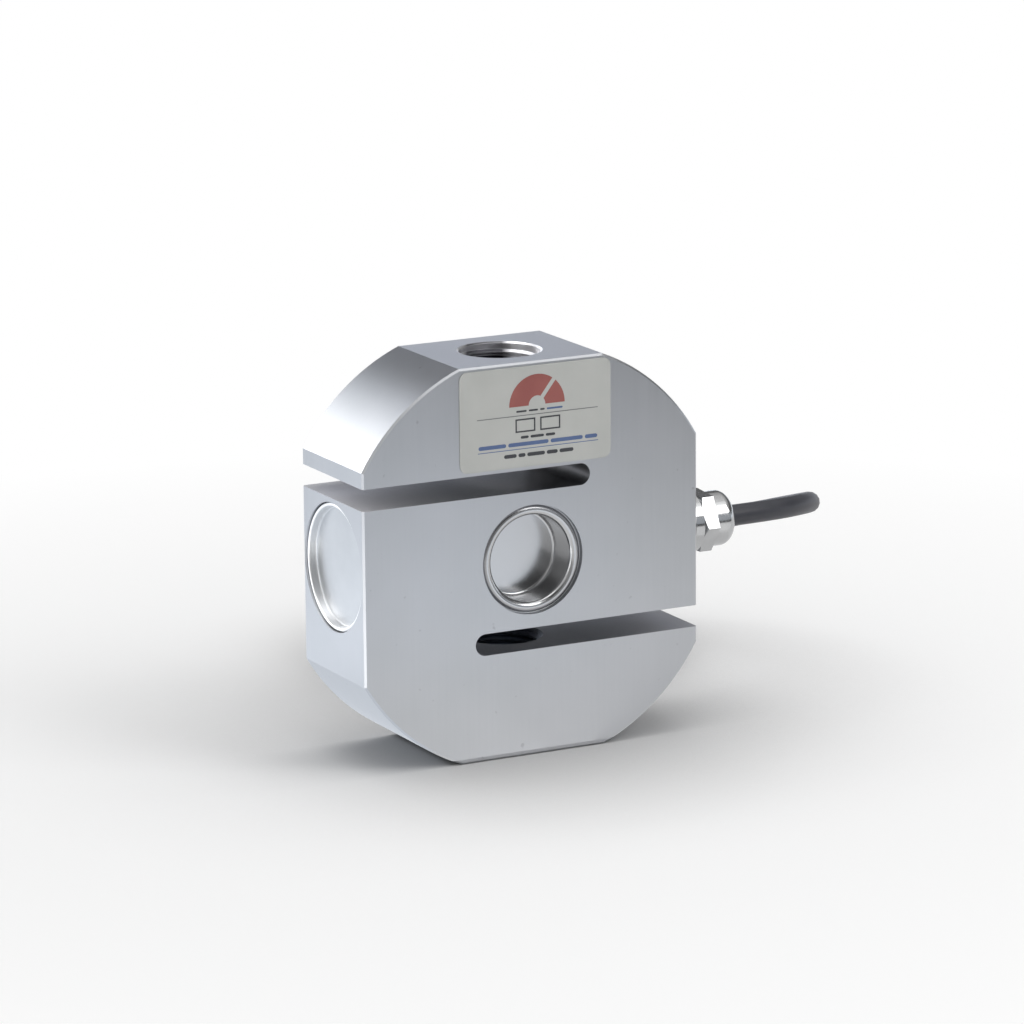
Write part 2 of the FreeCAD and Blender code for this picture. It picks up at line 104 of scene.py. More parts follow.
# From inside the gland nut, round behind the body and down to the top of the coil
cable_route = [
    mm(72.0, 0.0, 59.0),
    mm(92.5, 0.0, 59.0),
    mm(113.0, 11.0, 57.0),
    mm(124.0, 32.0, 51.5),
    mm(124.0, 57.0, 44.0),
    mm(114.0, 81.0, 36.0),
    mm(94.65, 99.45, 27.0),
]
# From the bottom turn of the coil, along the floor to the sleeve
tail_route = [
    mm(23.0, 136.5, 4.4),
    mm(2.5, 123.0, 4.1),
    mm(-7.5, 103.0, 3.8),
    mm(-8.0, 81.0, 3.8),
    mm(-4.0, 62.0, 3.8),
]
coil_centre = mm(45.5, 89.0, 0.0)
coil_middle_radius = 38.4 * MM
coil_pitch = 6.6 * MM
coil_floor_gap = 1.2 * MM
coil_layers = 4
coil_points_per_turn = 16
coil_start = 45                 # degrees, where the cable comes onto the top layer
coil_pass = 45                  # degrees in which it passes over to the next column or layer
coil_stretch = 315              # degrees that it stays in a column
coil_short_stretch = 270        # the same, next to a change of layer
core_radius = 0.75 * MM
core_circle = 2.05 * MM
core_lead_out = 4.0 * MM
core_drop_length = 15.0 * MM
core_early_drift = 0.35         # share of a core's way sideways that it has gone where it lands
sleeve_length = 16.0 * MM
sleeve_overlap = 3.0 * MM       # how far the sleeve reaches back over the jacket
sleeve_radius = 3.72 * MM
sleeve_shrink = 0.5 * MM        # how much it is drawn in over the cores
sleeve_shrink_start = 0.35      # share of its length where that begins
sleeve_crease = 0.05 * MM
sleeve_lip = 0.25 * MM          # rounding of its two ends
# Where the stripped cores come to rest on the floor, in millimetres
core_ends = {
    "core_white": (-0.5, 22.5),
    "core_green": (11.0, 25.5),
    "drain_wire": (5.5, 22.8),
    "core_black": (-6.0, 23.0),
    "core_red": (-11.0, 24.8),
}
bare_tip_length = 5.5 * MM
bare_tip_radius = core_radius * 0.62
drain_radius = core_radius * 0.8
strand_lay = 5.0 * MM           # length in which the wires of a strand turn once
strand_outer_wires = 6


def link(made):
    bpy.context.scene.collection.objects.link(made)
    return made


def nurbs_curve(name, points):
    """Curve object of one open quadratic NURBS spline that ends on its first and last points."""
    data = bpy.data.curves.new(name, "CURVE")
    data.dimensions = "3D"
    spline = data.splines.new("NURBS")
    spline.points.add(len(points) - 1)
    for slot, point in zip(spline.points, points):
        slot.co = (point.x, point.y, point.z, 1.0)
    spline.order_u = 3
    spline.use_endpoint_u = True
    data.resolution_u = 8
    return link(bpy.data.objects.new(name, data))


def spline_points(points, resolution=24):
    """Points along the spline, read from a curve that has no bevel."""
    curve = nurbs_curve("route", points)
    curve.data.resolution_u = resolution
    bpy.context.view_layer.update()
    mesh = bpy.data.meshes.new_from_object(curve)
    found = [vertex.co.copy() for vertex in mesh.vertices]
    bpy.data.objects.remove(curve)
    bpy.data.meshes.remove(mesh)
    return found


def winding():
    """Angle in degrees, column radius and layer at both ends of each stretch of the coil, from the top."""
    columns = [coil_middle_radius + coil_pitch * step for step in (1, 0, -1)]
    order = []
    for layer in reversed(range(coil_layers)):
        order += [(radius, layer) for radius in columns]
        columns.reverse()
    angle = coil_start
    ends = []
    for index, (radius, layer) in enumerate(order):
        neighbours = order[max(index - 1, 0):index + 2]
        beside_change = any(other != layer for _, other in neighbours)
        stretch = coil_short_stretch if beside_change else coil_stretch
        ends += [(angle, radius, layer), (angle + stretch, radius, layer)]
        angle += stretch + coil_pass
    return ends


def coil_points():
    """Control points of the coil's turns, which lie beside and on each other."""
    plan = winding()
    step = 360 / coil_points_per_turn
    # The spline runs inside its control points by this ratio
    outside = 1 / (0.75 + 0.25 * math.cos(math.radians(step)))
    points = []
    count = int((plan[-1][0] - plan[0][0]) / step)
    for index in range(count + 1):
        angle = plan[0][0] + index * step
        for (start, radius, layer), (end, next_radius, next_layer) in zip(plan, plan[1:]):
            if start <= angle <= end:
                share = (angle - start) / (end - start)
                share = share * share * (3 - 2 * share)
                radius += (next_radius - radius) * share
                layer += (next_layer - layer) * share
                break
        height = coil_floor_gap + cable_diameter * (layer + 0.5)
        turn = math.radians(angle)
        spot = Vector((math.cos(turn), math.sin(turn), 0)) * radius * outside
        points.append(coil_centre + spot + UP * height)
    return points


def core_points(name):
    """Route of one stripped core from the sleeve to where it rests."""
    end = tail_route[-1]
    along = (end - tail_route[-2]).normalized()
    along.z = 0
    names = list(core_ends)
    angle = 2 * math.pi * names.index(name) / len(names)
    across = Vector((-along.y, along.x, 0))
    start = end + along * sleeve_length
    start += across * (core_circle * math.sin(angle)) + UP * (core_circle * math.cos(angle))
    rest = Vector((core_ends[name][0] * MM, core_ends[name][1] * MM, core_radius))
    straight = start + along * core_lead_out
    landing = start + along * core_drop_length
    landing.x += (rest.x - start.x) * core_early_drift
    landing.z = core_radius
    return [start, straight, landing, rest]


def mesh_object(name, vertices, faces, smooth=True):
    mesh = bpy.data.meshes.new(name)
    mesh.from_pydata([tuple(vertex) for vertex in vertices], [], faces)
    mesh.validate()
    if smooth:
        mesh.shade_smooth()
    else:
        mesh.shade_flat()
    return link(bpy.data.objects.new(name, mesh))


def arc(centre, radius, first, last, steps=10):
    """Points on an arc in a plane, between two angles in degrees."""
    points = []
    for index in range(steps + 1):
        angle = math.radians(first + (last - first) * index / steps)
        points.append((centre[0] + radius * math.cos(angle), centre[1] + radius * math.sin(angle)))
    return points


def ring_points(centre, side, other, radius, sides):
    """Corners of a polygon about a centre, in the plane of two unit vectors."""
    angles = [2 * math.pi * index / sides for index in range(sides)]
    return [centre + (side * math.cos(angle) + other * math.sin(angle)) * radius for angle in angles]


def ring_faces(first, second, sides):
    """Faces between two rings of points, each given by the number of its first point."""
    faces = []
    for index in range(sides):
        after = (index + 1) % sides
        faces.append((first + index, first + after, second + after, second + index))
    return faces


def tube_faces(rings, sides, base=0):
    """Faces of a tube along rings of points, and its two ends."""
    faces = []
    for ring in range(rings - 1):
        faces += ring_faces(base + ring * sides, base + (ring + 1) * sides, sides)
    last = base + (rings - 1) * sides
    faces.append(tuple(reversed(range(base, base + sides))))
    faces.append(tuple(range(last, last + sides)))
    return faces


def path_frames(path):
    """Two unit vectors across the path at each point, turned as little as possible along it."""
    tangents = []
    for index in range(len(path)):
        before = path[max(index - 1, 0)]
        after = path[min(index + 1, len(path) - 1)]
        tangents.append((after - before).normalized())
    side = tangents[0].orthogonal().normalized()
    frames = []
    for tangent in tangents:
        side = (side - tangent * side.dot(tangent)).normalized()
        frames.append((side, tangent.cross(side)))
    return frames


def tube(name, path, radii, sides):
    """Closed tube along a path.  radii is one radius, or one for each point."""
    if not isinstance(radii, list):
        radii = [radii] * len(path)
    vertices = []
    for point, radius, (side, other) in zip(path, radii, path_frames(path)):
        vertices += ring_points(point, side, other, radius, sides)
    return mesh_object(name, vertices, tube_faces(len(path), sides))


def path_length(path):
    return sum((after - before).length for before, after in zip(path, path[1:]))


def cut_path(path, length):
    """The path up to that length, and the rest."""
    walked = 0.0
    for index in range(1, len(path)):
        step = (path[index] - path[index - 1]).length
        if walked + step >= length:
            spot = path[index - 1].lerp(path[index], (length - walked) / step)
            return path[:index] + [spot], [spot] + path[index:]
        walked += step
    return path, path[-2:]


def make_cable():
    """Jacket from the gland through the coil to the sleeve."""
    cable = nurbs_curve("signal_cable", cable_route + coil_points()[1:] + tail_route)
    cable.data.bevel_depth = cable_diameter / 2
    cable.data.bevel_resolution = 5
    cable.data.use_fill_caps = True
    return cable


def make_sleeve():
    """Heat-shrunk sleeve: tight on the jacket, drawn in where the cores come out."""
    end = tail_route[-1]
    along = (end - tail_route[-2]).normalized()
    along.z = 0
    count = 36
    crease_rate = 41            # radians of the creases' wave over the sleeve
    path, radii = [], []
    for index in range(count + 1):
        share = index / count
        distance = -sleeve_overlap + share * (sleeve_overlap + sleeve_length)
        drawn = max(0.0, (share - sleeve_shrink_start) / (1 - sleeve_shrink_start))
        waist = sleeve_shrink * drawn ** 2
        crease = sleeve_crease * math.sin(share * crease_rate)
        lip = sleeve_lip if index in (0, count) else 0.0
        path.append(end + along * distance)
        radii.append(sleeve_radius - waist + crease - lip)
    return tube("shrunk_sleeve", path, radii, sides=32)


def make_strand(name, path, radius, sides=6):
    """Fine wires twisted together along a path: one in the middle and a ring of them round it."""
    wire = radius / 3
    frames = path_frames(path)
    vertices, faces = [], []
    for strand in range(strand_outer_wires + 1):
        offset = 0.0 if strand == strand_outer_wires else wire * 2
        faces += tube_faces(len(path), sides, base=len(vertices))
        walked = 0.0
        for index, point in enumerate(path):
            if index:
                walked += (point - path[index - 1]).length
            side, other = frames[index]
            turn = 2 * math.pi * (strand / strand_outer_wires + walked / strand_lay)
            centre = point + (side * math.cos(turn) + other * math.sin(turn)) * offset
            vertices += ring_points(centre, side, other, wire, sides)
    return mesh_object(name, vertices, faces)


def make_cores():
    """The cores fan out of the sleeve; each has a bare twisted tip, and the drain wire is bare all along."""
    made = {}
    for name in core_ends:
        path = spline_points(core_points(name))
        if name == "drain_wire":
            made[name] = [make_strand("drain_strand", path, drain_radius)]
            continue
        insulated, bare = cut_path(path, path_length(path) - bare_tip_length)
        made[name] = [
            tube(name + "_jacket", insulated, core_radius, sides=16),
            make_strand(name + "_tip", bare, bare_tip_radius),
        ]
    return made


cable = make_cable()
sleeve = make_sleeve()
cores = make_cores()

# ---------------------------------------------------------------- shader helpers
def shader_node(tree, kind, inputs=None, **fields):
    """Add a shader node; an input is a value, or another node's output to link."""
    made = tree.nodes.new(kind)
    for field, value in fields.items():
        setattr(made, field, value)
    for name, value in (inputs or {}).items():
        if isinstance(value, bpy.types.NodeSocket):
            tree.links.new(value, made.inputs[name])
        else:
            made.inputs[name].default_value = value
    return made


def empty_tree(owner):
    """Node tree of a new material or world, with nothing in it."""
    owner.use_nodes = True
    owner.node_tree.nodes.clear()
    return owner.node_tree


def object_place(tree, stretch=(1, 1, 1)):
    """The point on the object in metres, stretched along each axis."""
    place = shader_node(tree, "ShaderNodeTexCoord")
    scaled = shader_node(tree, "ShaderNodeMapping", {"Vector": place.outputs["Object"], "Scale": stretch})
    return scaled.outputs["Vector"]


def noise_value(tree, vector, scale, detail=2.0, roughness=0.5):
    made = shader_node(tree, "ShaderNodeTexNoise",
                       {"Vector": vector, "Scale": scale, "Detail": detail, "Roughness": roughness})
    return made.outputs["Fac"]


def spread(tree, value, low, high, start=0.3, end=0.7):
    """Map a value between start and end to one between low and high."""
    made = shader_node(tree, "ShaderNodeMapRange",
                       {"Value": value, "From Min": start, "From Max": end, "To Min": low, "To Max": high})
    return made.outputs["Result"]


def blend_colour(tree, factor, first, second):
    """Colour between two, by a factor from 0 to 1."""
    made = shader_node(tree, "ShaderNodeMix", data_type="RGBA")
    tree.links.new(factor, made.inputs["Factor"])
    for key, colour in (("A", first), ("B", second)):
        socket = [s for s in made.inputs if s.name == key and s.type == "RGBA"][0]
        if isinstance(colour, bpy.types.NodeSocket):
            tree.links.new(colour, socket)
        else:
            socket.default_value = (*colour, 1.0)
    return [s for s in made.outputs if s.type == "RGBA"][0]


def bump(tree, height, strength, distance):
    inputs = {"Height": height, "Strength": strength, "Distance": distance}
    return shader_node(tree, "ShaderNodeBump", inputs).outputs["Normal"]


def math_value(tree, operation, first, second=0.0):
    made = shader_node(tree, "ShaderNodeMath", operation=operation)
    for socket, value in zip(made.inputs, (first, second)):
        if isinstance(value, bpy.types.NodeSocket):
            tree.links.new(value, socket)
        else:
            socket.default_value = value
    return made.outputs["Value"]


def between(tree, value, low, high):
    """1 where a value lies between two others, and 0 elsewhere."""
    over = math_value(tree, "GREATER_THAN", value, low)
    return math_value(tree, "MULTIPLY", over, math_value(tree, "LESS_THAN", value, high))


def vector_math(tree, operation, first, second=(0, 0, 0), result="Vector"):
    made = shader_node(tree, "ShaderNodeVectorMath", {0: first, 1: second}, operation=operation)
    return made.outputs[result]


def length_of(tree, vector):
    return vector_math(tree, "LENGTH", vector, result="Value")


def new_material(name, **constants):
    """Material with its principled shader; constants are set on the shader's own sockets."""
    made = bpy.data.materials.new(name)
    made.use_nodes = True
    shader = made.node_tree.nodes["Principled BSDF"]
    for socket, value in constants.items():
        shader.inputs[socket.replace("_", " ")].default_value = value
    return made, made.node_tree, shader


def feed(tree, shader, **sockets):
    for name, value in sockets.items():
        tree.links.new(value, shader.inputs[name.replace("_", " ")])


# ---------------------------------------------------------------- steel of the body, cups and cap
body_low, body_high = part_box("sensing_body")
axis_height = (body_low.z + body_high.z) / 2
openings = {opening["name"]: opening["box_m"] for opening in frame["record"]["physics"]["openings"]}
lower_slot_height, upper_slot_height = [
    (openings[name][0][2] + openings[name][1][2]) / 2 for name in ("lower_slot", "upper_slot")
]
slot_end_centre = 15.75 * MM
slot_wall_reach = 3.28 * MM     # just over half a slot's width
# Each slot: the side of its closed end, its middle height, and its tones at the mouth, on the way in,
# near the end and on the rounded end itself: the wire-cut wall's own dull grey with painted light at the
# mouth and painted shade deepening inwards
slot_painted_tones = [
    (1, upper_slot_height, (0.74, 0.73, 0.74), (0.24, 0.24, 0.255), (0.13, 0.13, 0.14), (0.22, 0.22, 0.23)),
    (-1, lower_slot_height, (0.52, 0.52, 0.54), (0.25, 0.25, 0.27), (0.17, 0.17, 0.19), (0.17, 0.17, 0.19)),
]
# Where each tone passes into the next.  The first two are measured from the load axis towards the slot's
# closed end, the last one from the centre of the rounded end.
slot_way_fade = (-52 * MM, -20 * MM)
slot_near_fade = (-8 * MM, 6 * MM)
slot_end_fade = (1.2 * MM, 3 * MM)
hole_radius = mounts["upper_thread"]["dims"]["r_mm"] * MM
thread_crest_radius = 10.92 * MM
# Painted shade and highlights on the upper load hole's wall, each tone within a radius: mouth, roots, flanks
# and crests of the thread
hole_shade_tones = [
    (hole_radius + 0.55 * MM, (0.13, 0.13, 0.14)),
    (hole_radius + 0.05 * MM, (0.42, 0.42, 0.44)),
    (hole_radius - 0.2 * MM, (0.07, 0.07, 0.08)),
    (thread_crest_radius + 0.03 * MM, (0.30, 0.30, 0.32)),
]
# Painted shade inside the lower load hole
lower_hole_shade_tone = (0.25, 0.27, 0.31)
highlight_tone = (0.92, 0.92, 0.94)
highlight_side = (0.887, -0.462, 0.0)   # towards the side of the upper load hole that carries a painted highlight
# Distances from the load axis towards that side between which the painted highlight comes in, and opposite
# it, between which a narrow strip of it ends
highlight_fade = (0.6 * MM, 3.6 * MM)
highlight_strip_fade = (-11.5 * MM, -9.5 * MM)
face_margin = 0.01 * MM         # keeps the painted tones of the load holes off the body's end faces


def slot_walls(tree, place, colour):
    """Put the walls of the two round-ended slots into their tones, painted light at the mouth and painted
    shade deeper in; also gives the walls' share, 0 or 1.
    """
    axes = shader_node(tree, "ShaderNodeSeparateXYZ", {"Vector": place}).outputs
    walls = 0.0
    for side, middle_height, mouth_tone, way_tone, near_tone, end_tone in slot_painted_tones:
        inward = math_value(tree, "MULTIPLY", axes["X"], side)
        beyond = math_value(tree, "MAXIMUM", math_value(tree, "SUBTRACT", inward, slot_end_centre), 0.0)
        off = math_value(tree, "SUBTRACT", axes["Z"], middle_height)
        apart = shader_node(tree, "ShaderNodeCombineXYZ", {"X": beyond, "Z": off}).outputs["Vector"]
        share = math_value(tree, "LESS_THAN", length_of(tree, apart), slot_wall_reach)
        # Painted light at the mouth, passing into painted shade on the way in, near the end and on the
        # rounded end
        tone = mouth_tone
        for distance, (start, end), next_tone in ((inward, slot_way_fade, way_tone),
                                                  (inward, slot_near_fade, near_tone),
                                                  (beyond, slot_end_fade, end_tone)):
            tone = blend_colour(tree, spread(tree, distance, 0, 1, start, end), tone, next_tone)
        colour = blend_colour(tree, share, colour, tone)
        walls = math_value(tree, "MAXIMUM", walls, share)
    return colour, walls


def hole_walls(tree, place, colour):
    """Put the walls of the two load holes into painted shade: the upper one dark, with a painted highlight
    on one side.
    """
    axes = shader_node(tree, "ShaderNodeSeparateXYZ", {"Vector": place}).outputs
    flat = shader_node(tree, "ShaderNodeCombineXYZ", {"X": axes["X"], "Y": axes["Y"]}).outputs["Vector"]
    radius = length_of(tree, flat)
    aside = vector_math(tree, "DOT_PRODUCT", flat, highlight_side, "Value")
    # Painted shade inside the upper load hole, a tone for each part of the thread
    mouth_radius, tone = hole_shade_tones[0]
    for limit, next_tone in hole_shade_tones[1:]:
        tone = blend_colour(tree, math_value(tree, "LESS_THAN", radius, limit), tone, next_tone)
    # Painted highlight: bright on one side of the upper hole, and in a narrow strip opposite
    highlight_share = math_value(tree, "MAXIMUM", spread(tree, aside, 0, 1, *highlight_fade),
                       spread(tree, aside, 1, 0, *highlight_strip_fade))
    tone = blend_colour(tree, highlight_share, tone, highlight_tone)
    inside = math_value(tree, "LESS_THAN", radius, mouth_radius)
    above = between(tree, axes["Z"], upper_slot_height + slot_wall_reach, body_high.z - face_margin)
    below = between(tree, axes["Z"], body_low.z + face_margin, lower_slot_height - slot_wall_reach)
    colour = blend_colour(tree, math_value(tree, "MULTIPLY", inside, above), colour, tone)
    return blend_colour(tree, math_value(tree, "MULTIPLY", inside, below), colour, lower_hole_shade_tone)


def ground_steel():
    """Fine ground stainless steel: faint upright grinding lines, cloudy tone and a few specks.

    The walls of the slots are dull and darker, as the wire that cut them left them, with painted light at
    the mouth and painted shade deepening towards the closed end.
    """
    made, tree, shader = new_material("body_steel", Metallic=1.0)
    place = object_place(tree)
    upright = object_place(tree, stretch=(900, 900, 26))
    lines = noise_value(tree, upright, scale=1.0, detail=3.0, roughness=0.6)
    clouds = noise_value(tree, place, scale=24.0, detail=3.0, roughness=0.55)
    specks = noise_value(tree, place, scale=420.0, detail=1.0)
    tone = blend_colour(tree, spread(tree, clouds, 0, 1), (0.505, 0.52, 0.54), (0.55, 0.56, 0.585))
    streaked = blend_colour(tree, spread(tree, lines, 0, 0.15), tone, (0.64, 0.65, 0.67))
    specked = spread(tree, specks, 0, 0.35, start=0.76, end=0.84)
    spotted = blend_colour(tree, specked, streaked, (0.25, 0.25, 0.27))
    colour, cut = slot_walls(tree, place, hole_walls(tree, place, spotted))
    rough = spread(tree, cut, 0.36, 0.5, start=0, end=1)
    rough = math_value(tree, "ADD", rough, spread(tree, lines, -0.03, 0.03))
    feed(tree, shader, Base_Color=colour, Roughness=rough, Normal=bump(tree, lines, 0.04, 0.02 * MM))
    return made


def drawn_steel(name, low, high, rough_low, rough_high, rim_axes, rim_start, rim_end, rim_painted_tone):
    """Bright drawn stainless sheet with soft drawing marks, and a painted tone on the rim of a cup: painted
    shade on the outer flange of the front and rear cups, a painted highlight on the side cap's rim.

    rim_axes are the two axes across the cup's own; the rim's painted tone comes in between the two radii.
    """
    made, tree, shader = new_material(name, Metallic=1.0)
    place = object_place(tree)
    clouds = noise_value(tree, place, scale=90.0, detail=3.0, roughness=0.6)
    fine = noise_value(tree, place, scale=2600.0)
    tone = blend_colour(tree, spread(tree, clouds, 0, 1), low, high)
    off_centre = vector_math(tree, "SUBTRACT", place, (0, 0, axis_height))
    radius = length_of(tree, vector_math(tree, "MULTIPLY", off_centre, rim_axes))
    # Painted tone on the rim: painted shade on the cups' outer flange, a painted highlight on the side cap's
    # rim
    tone = blend_colour(tree, spread(tree, radius, 0, 1, rim_start, rim_end), tone, rim_painted_tone)
    rough = spread(tree, clouds, rough_low, rough_high)
    feed(tree, shader, Base_Color=tone, Roughness=rough, Normal=bump(tree, fine, 0.006, 0.004 * MM))
    return made


# ---------------------------------------------------------------- other finishes
# Colours and roughnesses between which each plain finish varies
plain_values = {
    "seal_rubber": ((0.016, 0.016, 0.017), (0.03, 0.03, 0.031), 0.6, 0.75),
    "cable_jacket": ((0.030, 0.031, 0.040), (0.044, 0.045, 0.056), 0.34, 0.46),
    "sleeve_plastic": ((0.014, 0.014, 0.015), (0.025, 0.025, 0.027), 0.5, 0.65),
    "gauge_film": ((0.42, 0.20, 0.035), (0.52, 0.27, 0.05), 0.25, 0.35),
    "board_laminate": ((0.02, 0.13, 0.05), (0.03, 0.18, 0.08), 0.35, 0.5),
    "component_black": ((0.02, 0.02, 0.02), (0.035, 0.035, 0.035), 0.45, 0.6),
    "spacer_nylon": ((0.70, 0.70, 0.66), (0.78, 0.78, 0.74), 0.4, 0.5),
    "lead_insulation": ((0.62, 0.62, 0.58), (0.70, 0.70, 0.66), 0.35, 0.45),
    "core_red": ((0.48, 0.02, 0.015), (0.58, 0.035, 0.025), 0.32, 0.42),
    "core_black": ((0.014, 0.014, 0.015), (0.024, 0.024, 0.026), 0.32, 0.42),
    "core_green": ((0.01, 0.24, 0.06), (0.02, 0.32, 0.09), 0.32, 0.42),
    "core_white": ((0.72, 0.72, 0.70), (0.80, 0.80, 0.78), 0.32, 0.42),
    "ink_red": ((0.30, 0.085, 0.075), (0.35, 0.105, 0.09), 0.38, 0.46),
    "ink_blue": ((0.07, 0.115, 0.26), (0.095, 0.15, 0.31), 0.38, 0.46),
    "ink_dark": ((0.035, 0.037, 0.045), (0.05, 0.052, 0.06), 0.38, 0.46),
    "ink_grey": ((0.14, 0.145, 0.15), (0.18, 0.185, 0.19), 0.38, 0.46),
}
metal_values = {
    "gauge_foil": ((0.42, 0.36, 0.27), (0.52, 0.46, 0.36), 0.3, 0.4),
    "solder": ((0.62, 0.62, 0.63), (0.72, 0.72, 0.73), 0.25, 0.4),
    "tinned_copper": ((0.60, 0.58, 0.54), (0.72, 0.70, 0.66), 0.3, 0.4),
}


def plated_brass():
    """Nickel-plated turned brass with faint rings from the lathe."""
    made, tree, shader = new_material("gland_metal", Metallic=1.0)
    rings = noise_value(tree, object_place(tree, stretch=(2200, 60, 60)), scale=1.0)
    clouds = noise_value(tree, object_place(tree), scale=160.0)
    tone = blend_colour(tree, spread(tree, clouds, 0, 1), (0.53, 0.535, 0.54), (0.59, 0.595, 0.60))
    rough = spread(tree, rings, 0.13, 0.21)
    feed(tree, shader, Base_Color=tone, Roughness=rough, Normal=bump(tree, rings, 0.03, 0.005 * MM))
    return made


def plain_finish(name, low, high, rough_low, rough_high, grain=1200.0, depth=0.03 * MM, **constants):
    """Plastic, rubber, lacquer or dull metal with a slight variation of colour and a fine grain."""
    made, tree, shader = new_material(name, **constants)
    clouds = noise_value(tree, object_place(tree), scale=120.0, detail=3.0)
    fine = noise_value(tree, object_place(tree), scale=grain)
    tone = blend_colour(tree, spread(tree, clouds, 0, 1), low, high)
    rough = spread(tree, clouds, rough_low, rough_high)
    feed(tree, shader, Base_Color=tone, Roughness=rough, Normal=bump(tree, fine, 0.25, depth))
    return made


def woven_strap():
    """Black woven strap: fine ribs both ways and a soft sheen."""
    made, tree, shader = new_material("tie_strap", Sheen_Weight=0.3, Sheen_Roughness=0.5)
    weave = 1.0
    for direction in ("Z", "X"):
        ribs = shader_node(tree, "ShaderNodeTexWave",
                           {"Vector": object_place(tree), "Scale": 420.0, "Distortion": 0.6, "Detail": 1.0},
                           bands_direction=direction)
        weave = math_value(tree, "MULTIPLY", ribs.outputs["Fac"], weave)
    tone = blend_colour(tree, weave, (0.012, 0.012, 0.013), (0.05, 0.05, 0.054))
    feed(tree, shader, Base_Color=tone, Roughness=spread(tree, weave, 0.75, 0.9),
         Normal=bump(tree, weave, 0.6, 0.15 * MM))
    return made


def finishes():
    """Every finish by name: the record's material slots, the side cap's own steel and the label's inks."""
    made = {
        "body_steel": ground_steel(),
        # Rim tones: painted shade on the cups' outer flange, a painted highlight on the side cap's rim
        "cup_steel": drawn_steel("cup_steel", (0.505, 0.508, 0.515), (0.55, 0.553, 0.56), 0.19, 0.25,
                                 (1, 0, 1), 14.7 * MM, 15.4 * MM, (0.34, 0.34, 0.35)),
        "cap_steel": drawn_steel("cap_steel", (0.56, 0.575, 0.592), (0.61, 0.625, 0.642), 0.33, 0.38,
                                 (0, 1, 1), 17.7 * MM, 17.9 * MM, (0.95, 0.95, 0.95)),
        "gland_metal": plated_brass(),
        "tie_strap": woven_strap(),
        "label_plate": plain_finish("label_plate", (0.475, 0.485, 0.465), (0.505, 0.512, 0.492), 0.34, 0.42,
                                    grain=900.0, depth=0.004 * MM),
    }
    for name, values in plain_values.items():
        made[name] = plain_finish(name, *values)
    for name, values in metal_values.items():
        made[name] = plain_finish(name, *values, Metallic=1.0)
    return made


finish = finishes()


def dress(piece, slot, look=None):
    """A new piece rides on the body and takes a slot, with the slot's finish or another one."""
    piece.data.materials.clear()
    piece.data.materials.append(finish[look or slot])
    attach(piece, "root")
    return piece


slot_of = {part["node"]: part["material_slot"] for part in frame["record"]["subparts"]}
for name, node in nodes.items():
    for place in node.material_slots:
        place.material = finish["cap_steel" if name == "side_cap" else slot_of[name]]

# ---------------------------------------------------------------- cable pieces
dress(cable, "cable_jacket")
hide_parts("cable", "cable_coil", "cable_tail")
dress(sleeve, "sleeve_plastic")
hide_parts("end_sleeve")
for name, pieces in cores.items():
    for piece in pieces:
        bare = piece.name.endswith(("_tip", "_strand"))
        dress(piece, "tinned_copper" if bare else slot_of[name])
        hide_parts(name)

# ---------------------------------------------------------------- strap tab
strap_width = 10.0 * MM
tie_angle = math.radians(67.5)
tab_length = 15.0 * MM
tab_thickness = 0.8 * MM
tab_inset = 0.3 * MM            # from the strap's sides
tab_rounding = 0.25 * MM


def make_strap_tab():
    """Loose end of the strap, pressed flat on its top, with a rounded tip and edges."""
    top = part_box("coil_tie")[1].z
    half = strap_width / 2 - tab_inset
    tip = arc((tab_length / 2 - half, 0), half, -90, 90, steps=12)
    outline = [(-tab_length / 2, -half)] + tip + [(-tab_length / 2, half)]
    radial = Vector((math.cos(tie_angle), math.sin(tie_angle), 0))
    across = Vector((-radial.y, radial.x, 0))
    centre = coil_centre + radial * coil_middle_radius + UP * top
    mesh = bmesh.new()
    corners = [mesh.verts.new(centre + radial * x + across * y) for x, y in outline]
    face = mesh.faces.new(corners)
    raised = bmesh.ops.extrude_face_region(mesh, geom=[face])
    lifted = [item for item in raised["geom"] if isinstance(item, bmesh.types.BMVert)]
    bmesh.ops.translate(mesh, vec=UP * tab_thickness, verts=lifted)
    bmesh.ops.recalc_face_normals(mesh, faces=mesh.faces)
    rim = [edge for edge in mesh.edges if all(vertex in lifted for vertex in edge.verts)]
    bmesh.ops.bevel(mesh, geom=rim, offset=tab_rounding, segments=3, affect="EDGES")
    data = bpy.data.meshes.new("strap_tab")
    mesh.to_mesh(data)
    mesh.free()
    return link(bpy.data.objects.new("strap_tab", data))


strap_tab = dress(make_strap_tab(), "tie_strap")

# ---------------------------------------------------------------- load threads
thread_pitch = 2.0 * MM
thread_base_width = 1.75 * MM
thread_crest_width = 0.5 * MM
thread_foot_depth = 0.03 * MM   # how deep the ridge's foot sits in the hole's wall
thread_steps = 72               # sections in each turn
thread_fade = 0.3               # turns over which the ridge runs out at each end
thread_end_share = 0.02         # share of its height that is left at the very end


